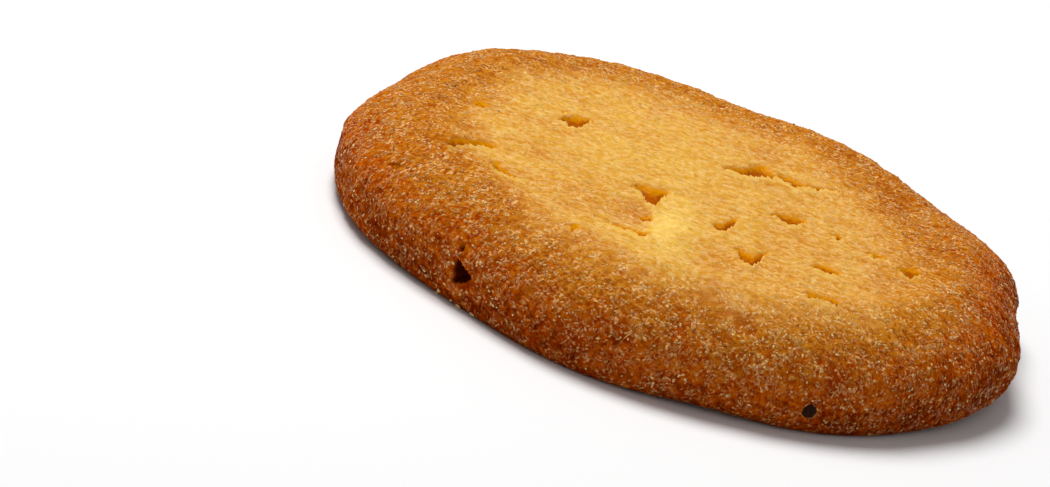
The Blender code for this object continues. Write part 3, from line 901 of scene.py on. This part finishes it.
def axes_on(draw, normals, tilt):
    """A random direction along the surface, tipped by up to tilt radians, with its side and its up."""
    along = unit(np.cross(normals, draw.normal(size=normals.shape)))
    tip = draw.uniform(-tilt, tilt, len(normals))[:, None]
    along = unit(along * np.cos(tip) + normals * np.sin(tip))
    side = unit(np.cross(normals, along))
    return along, side, np.cross(along, side)


def copies(template, faces, axes, sizes, places):
    """One copy of a template of points for every place: its x, y and z are scaled by the sizes and
    laid along the three axes. Returns all points and all faces."""
    local = template * sizes[:, None, :]
    points = places[:, None, :] + sum(local[:, :, axis, None] * axes[axis][:, None, :] for axis in range(3))
    first = np.arange(len(places))[:, None, None] * template.shape[-2]
    return points.reshape(-1, 3), [(block[None] + first).reshape(-1, block.shape[1]) for block in faces]


def spindle():
    """A bent spindle of unit length and width: a point at each end and two rings of four between."""
    turn = np.radians(np.array((45.0, 135.0, 225.0, 315.0)))
    ring = np.column_stack((np.zeros(4), np.cos(turn), np.sin(turn))) * 0.5
    points = np.vstack(((-0.5, -0.35, 0.0), ring + (-0.22, 0.1, 0.0), ring + (0.22, 0.1, 0.0), (0.5, -0.35, 0.0)))
    step = np.arange(4)
    ahead = (step + 1) % 4
    caps = np.vstack((
        np.column_stack((np.zeros(4, int), 1 + ahead, 1 + step)),
        np.column_stack((np.full(4, 9), 5 + step, 5 + ahead)),
    ))
    sides = np.column_stack((1 + step, 1 + ahead, 5 + ahead, 5 + step))
    return points, (caps, sides)


def flake():
    """A low cap one wide: a point on top, a ring of six a little lower, a wider ring far enough down to
    stay below the crust, and a point under it."""
    turn = np.radians(60.0 * np.arange(6))
    inner = np.column_stack((0.38 * np.cos(turn), 0.38 * np.sin(turn), np.full(6, 0.30)))
    outer = np.column_stack((0.50 * np.cos(turn + 0.3), 0.50 * np.sin(turn + 0.3), np.full(6, -1.5)))
    points = np.vstack(((0.0, 0.0, 0.5), inner, outer, (0.0, 0.0, -1.8)))
    step = np.arange(6)
    ahead = (step + 1) % 6
    caps = np.vstack((
        np.column_stack((np.zeros(6, int), 1 + step, 1 + ahead)),
        np.column_stack((np.full(6, 13), 7 + ahead, 7 + step)),
    ))
    sides = np.column_stack((1 + step, 7 + step, 7 + ahead, 1 + ahead))
    return points, (caps, sides)


def nugget():
    """An icosahedron one wide: a point above and below, and two rings of five at a third of the way
    from the middle, the lower one turned by half a step."""
    turn = np.radians(72.0 * np.arange(5))
    high = 1.0 / math.sqrt(5.0)
    out = 2.0 * high
    upper = np.column_stack((out * np.cos(turn), out * np.sin(turn), np.full(5, high)))
    lower = np.column_stack((out * np.cos(turn + math.pi / 5), out * np.sin(turn + math.pi / 5), np.full(5, -high)))
    points = 0.5 * np.vstack(((0.0, 0.0, 1.0), upper, lower, (0.0, 0.0, -1.0)))
    step = np.arange(5)
    ahead = (step + 1) % 5
    faces = np.vstack((
        np.column_stack((np.zeros(5, int), 1 + step, 1 + ahead)),
        np.column_stack((1 + step, 6 + step, 1 + ahead)),
        np.column_stack((1 + ahead, 6 + step, 6 + ahead)),
        np.column_stack((np.full(5, 11), 6 + ahead, 6 + step)),
    ))
    return points, (faces,)


def ball(around, rings):
    """A ball of radius one: rings of points between two poles, with the poles' fans of triangles."""
    turn = 2.0 * math.pi * np.arange(around) / around
    rise = math.pi * (np.arange(1, rings) / rings - 0.5)
    ring = np.stack((
        np.outer(np.cos(rise), np.cos(turn)), np.outer(np.cos(rise), np.sin(turn)), np.outer(np.sin(rise), turn ** 0),
    ), axis=-1).reshape(-1, 3)
    points = np.vstack((ring, ((0.0, 0.0, -1.0), (0.0, 0.0, 1.0))))
    number = np.arange(len(ring)).reshape(rings - 1, around)
    ahead = np.roll(number, -1, axis=1)
    quads = np.stack((number[:-1], ahead[:-1], ahead[1:], number[1:]), axis=-1).reshape(-1, 4)
    south = np.column_stack((ahead[0], number[0], np.full(around, len(ring))))
    north = np.column_stack((number[-1], ahead[-1], np.full(around, len(ring) + 1)))
    return points, (quads, np.vstack((south, north)))


def lay(name, crust, draw, weight, shape, sizes, sink, tilt, material):
    """Copies of a shape in random directions on the crust, each sunk by a share of its height. Their
    points are shifted a little at random, and each takes the crust's browning and a tone of its own."""
    count = len(sizes)
    places, normals, browning = crust.scatter(draw, count, weight)
    axes = axes_on(draw, normals, tilt)
    template, faces = shape
    uneven = template + draw.normal(0.0, 0.05, (count, *template.shape))
    points, faces = copies(uneven, faces, axes, sizes, places - normals * (sink * np.abs(sizes[:, 2:])))
    points[:, 2] = np.maximum(points[:, 2], 0.0)
    each = len(template)
    tone = draw.beta(0.9, 2.0, count)
    attributes = (("browning", np.repeat(browning, each)), ("tone", np.repeat(tone, each)))
    return new_mesh(name, points, faces, material, attributes)


def grain_sizes(draw, count, size):
    """Random lengths, widths and heights of grains that are longer than wide."""
    grown = size * np.minimum(np.exp(draw.normal(0.0, 0.28, count)), 1.45)
    return np.column_stack((grown * draw.uniform(1.0, 1.9, count), grown, grown * draw.uniform(0.6, 0.9, count)))


def fleck_sizes(draw, count, length, width, height):
    """Random lengths, widths and heights of flecks; half of them are turned over, bend and all."""
    bend = draw.choice((-1.0, 1.0), count)
    return np.column_stack((
        length * np.exp(draw.normal(0.0, 0.42, count)),
        width * np.exp(draw.normal(0.0, 0.25, count)) * bend,
        height * draw.uniform(0.75, 1.25, count) * bend,
    ))


# ---------------------------------------------------------------- operators

def settle(piece):
    """The piece belongs to the biscuit: it is attached to the biscuit's body."""
    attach(piece, BODY)


class BISCUIT_OT_dough(bpy.types.Operator):
    """Bake the dough: the whole crust with its rim, tears and grain."""

    bl_idname = "biscuit.dough"
    bl_label = "Bake the dough"

    def execute(self, context):
        crust = Crust(context.scene.biscuit_form)
        material = crust_material(context.scene.biscuit_crust)
        attributes = (
            ("browning", crust.browning), ("hollow_shade", crust.hollow_shade), ("tear", crust.tears.share),
            ("lip", np.minimum(crust.tears.bead, 1.0)), ("pit", crust.pit))
        piece = new_mesh("dough", crust.points, (crust.grid.quads, crust.grid.fan), material, attributes)
        settle(piece)
        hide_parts(NODE)
        return {"FINISHED"}


class BISCUIT_OT_flecks(bpy.types.Operator):
    """Press flecks of pale crumb into the crust."""

    bl_idname = "biscuit.flecks"
    bl_label = "Press in the flecks"

    def execute(self, context):
        scene = context.scene
        crust = Crust(scene.biscuit_form)
        look = scene.biscuit_crust
        crumb = scene.biscuit_crumb
        draw = np.random.default_rng(scene.biscuit_form.seed + 1)
        off_base = smooth_step((crust.points[:, 2] - 0.25 * MM) / (0.3 * MM))
        clear = 1.0 - np.clip((crust.tears.share + crust.pit) * 40.0 + crust.tears.bead, 0.0, 1.0)
        low = 0.35 + 0.65 * smooth_step((crust.points[:, 2] - 0.8 * MM) / (2.5 * MM))
        rim = smooth_step((crust.browning - 0.25) / 0.35) * off_base * clear * low
        level = smooth_step((crust.normals[:, 2] - 0.88) / 0.08)
        middle = (1.0 - smooth_step((crust.browning - 0.2) / 0.3)) * level * clear
        patches = 0.25 + smooth_step(crust.noise.at(crust.points + 0.05, 1.6 * MM) + 0.5)
        rim_crumb = fleck_material("rim_crumb", look, 0.66, 0.38)
        sizes = fleck_sizes(draw, crumb.rim_count, crumb.length, crumb.width, 0.7 * crumb.width)
        settle(lay("rim_flecks", crust, draw, rim * patches, spindle(), sizes, 0.17, 0.2, rim_crumb))
        sizes = grain_sizes(draw, crumb.grain_count, crumb.grain_size)
        settle(lay("rim_grains", crust, draw, rim * patches, nugget(), sizes, 0.20, 0.3, rim_crumb))
        sizes = fleck_sizes(draw, crumb.middle_count, 1.5 * crumb.length, 1.7 * crumb.width, 0.22 * crumb.width)
        sizes[:, 2] = np.abs(sizes[:, 2])
        middle_crumb = fleck_material("middle_crumb", look, 0.6, 0.55)
        flakes = lay("middle_flecks", crust, draw, middle * patches, flake(), sizes, 0.10, 0.06, middle_crumb)
        flakes.data.shade_flat()
        settle(flakes)
        return {"FINISHED"}


class BISCUIT_OT_sugar(bpy.types.Operator):
    """Strew bright grains of sugar over the crust, most of them on the rim and the wall."""

    bl_idname = "biscuit.sugar"
    bl_label = "Strew the sugar"

    def execute(self, context):
        scene = context.scene
        crust = Crust(scene.biscuit_form)
        look = scene.biscuit_crust
        crumb = scene.biscuit_crumb
        draw = np.random.default_rng(scene.biscuit_form.seed + 2)
        off_base = smooth_step((crust.points[:, 2] - 0.3 * MM) / (0.3 * MM))
        clear = 1.0 - np.clip((crust.tears.share + crust.pit) * 40.0 + crust.tears.bead, 0.0, 1.0)
        clusters = smooth_step(2.5 * crust.noise.at(crust.points + 0.09, 2.2 * MM) + 0.2) + 0.1
        weight = off_base * clear * clusters * smooth_step((crust.browning - 0.1) / 0.4)
        material = plain_material("sugar", look.sugar, 0.3, 0.4)
        sizes = grain_sizes(draw, crumb.sugar_count, crumb.sugar_size)
        settle(lay("sugar", crust, draw, weight, nugget(), sizes, 0.15, 0.3, material))

        angle = np.degrees(np.arctan2(crust.points[:, 1], crust.points[:, 0])) % 360.0
        low = np.exp(-(((crust.points[:, 2] - 0.3 * MM) / (0.25 * MM)) ** 2) - ((angle - 238.0) / 4.0) ** 2)
        golden = plain_material("golden_crumb", look.fleck, 0.4, 0.2)
        settle(lay("foot_crumbs", crust, draw, low, nugget(), grain_sizes(draw, 16, 0.36 * MM), 0.0, 0.3, golden))
        return {"FINISHED"}


class BISCUIT_OT_speck(bpy.types.Operator):
    """Press a burnt speck into the wall."""

    bl_idname = "biscuit.speck"
    bl_label = "Press in the speck"

    def execute(self, context):
        scene = context.scene
        crust = Crust(scene.biscuit_form)
        centre, height = SPECK
        way = math.radians(centre)
        on_wall = np.hypot(crust.points[:, 0], crust.points[:, 1]) > 0.9 * scene.biscuit_form.radius
        aim = 33.0 * MM * np.array((math.cos(way), math.sin(way), 0.0)) + (0.0, 0.0, height)
        nearest = np.argmin(np.linalg.norm(crust.points - aim, axis=1) + 1.0 * ~on_wall)
        normal = crust.grid.normals(crust.grid.points)[nearest]
        side = unit(np.cross((0.0, 0.0, 1.0), normal))
        up = np.cross(normal, side)
        points, quads = ball(24, 16)
        lumps = 1.0 + 0.22 * crust.noise.at(points, 0.6) + 0.12 * crust.noise.at(points, 0.3)
        local = points * lumps[:, None] * (0.70 * MM, 0.62 * MM, 0.26 * MM)
        place = crust.points[nearest]
        points = place + local @ np.stack((side, up, normal))
        settle(new_mesh("burnt_speck", points, quads, plain_material("burnt", scene.biscuit_crust.burnt, 0.6, 0.03)))
        return {"FINISHED"}


class BISCUIT_OT_stage(bpy.types.Operator):
    """Set up the floor, the lights and the camera."""

    bl_idname = "biscuit.stage"
    bl_label = "Set the stage"

    def execute(self, context):
        scene = context.scene
        stage = scene.biscuit_stage
        self.add_floor(stage)
        self.add_camera(scene, stage)
        self.add_lights(scene, stage)
        return {"FINISHED"}

    def add_floor(self, stage):
        """A wide level sheet at the height of the base."""
        half = 3.0
        make = Shader("pale_floor")
        make.surface.inputs["Base Color"].default_value = (*stage.floor, 1.0)
        make.surface.inputs["Roughness"].default_value = 0.8
        points = np.array(((-half, -half, 0.0), (half, -half, 0.0), (half, half, 0.0), (-half, half, 0.0)))
        floor = new_mesh("floor", points, (np.arange(4).reshape(1, 4),), make.material)

    def add_camera(self, scene, stage):
        """The camera stands off along its line of sight, rolled, and looks a little past the biscuit."""
        sight = Vector((0.0, math.cos(stage.elevation), -math.sin(stage.elevation)))
        level = Vector((1.0, 0.0, 0.0))
        upright = level.cross(sight)
        across = level * math.cos(stage.roll) + upright * math.sin(stage.roll)
        above = upright * math.cos(stage.roll) - level * math.sin(stage.roll)
        place = -sight * stage.distance
        target = -13.27 * MM * across + 2.71 * MM * above
        back = (place - target).normalized()
        above = (above - back * above.dot(back)).normalized()
        across = above.cross(back)
        camera = bpy.data.objects.new("camera", bpy.data.cameras.new("camera"))
        camera.data.lens = stage.lens
        camera.data.sensor_width = 36.0
        camera.data.clip_start = 0.01
        axes = Matrix((across, above, back)).transposed().to_4x4()
        camera.matrix_world = Matrix.Translation(place) @ axes
        scene.collection.objects.link(camera)
        scene.camera = camera

    def add_lights(self, scene, stage):
        """A wide light above, a weaker one in front, and an even sky."""
        world = bpy.data.worlds.new("sky")
        world.use_nodes = True
        background = world.node_tree.nodes["Background"]
        background.inputs["Color"].default_value = (1.0, 1.0, 1.0, 1.0)
        background.inputs["Strength"].default_value = stage.sky
        scene.world = world
        self.add_light(scene, "key", (-0.18, 0.14, 0.55), 0.35, stage.key_power)
        self.add_light(scene, "fill", (0.1, -0.8, 0.45), 0.5, stage.fill_power)

    def add_light(self, scene, name, place, size, power):
        light = bpy.data.lights.new(name, "AREA")
        light.shape = "DISK"
        light.size = size
        light.energy = power
        lamp = bpy.data.objects.new(name, light)
        lamp.location = place
        lamp.rotation_mode = "QUATERNION"
        lamp.rotation_quaternion = (-Vector(place)).to_track_quat("-Z", "Y")
        scene.collection.objects.link(lamp)


class BISCUIT_PT_panel(bpy.types.Panel):
    """Lists the pieces and their settings."""

    bl_idname = "BISCUIT_PT_panel"
    bl_label = "Shortbread biscuit"
    bl_space_type = "VIEW_3D"
    bl_region_type = "UI"
    bl_category = "Biscuit"

    def draw(self, context):
        for operator, settings in STEPS:
            box = self.layout.box()
            box.operator(operator.bl_idname)
            group = getattr(context.scene, settings)
            for name in group.__annotations__:
                box.prop(group, name)


STEPS = (
    (BISCUIT_OT_dough, "biscuit_form"),
    (BISCUIT_OT_flecks, "biscuit_crumb"),
    (BISCUIT_OT_sugar, "biscuit_crumb"),
    (BISCUIT_OT_speck, "biscuit_crust"),
    (BISCUIT_OT_stage, "biscuit_stage"),
)
SETTINGS = {
    "biscuit_form": FormSettings,
    "biscuit_crust": CrustSettings,
    "biscuit_crumb": CrumbSettings,
    "biscuit_stage": StageSettings,
}
CLASSES = (*SETTINGS.values(), *(operator for operator, _ in STEPS), BISCUIT_PT_panel)


def register():
    for item in CLASSES:
        bpy.utils.register_class(item)
    for name, settings in SETTINGS.items():
        setattr(bpy.types.Scene, name, bpy.props.PointerProperty(type=settings))


def unregister():
    for name in SETTINGS:
        delattr(bpy.types.Scene, name)
    for item in reversed(CLASSES):
        bpy.utils.unregister_class(item)


def main():
    """Register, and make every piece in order."""
    register()
    bpy.context.scene.view_settings.view_transform = "Standard"
    bpy.ops.biscuit.dough()
    bpy.ops.biscuit.flecks()
    bpy.ops.biscuit.sugar()
    bpy.ops.biscuit.speck()
    bpy.ops.biscuit.stage()


if __name__ == "__main__":
    main()
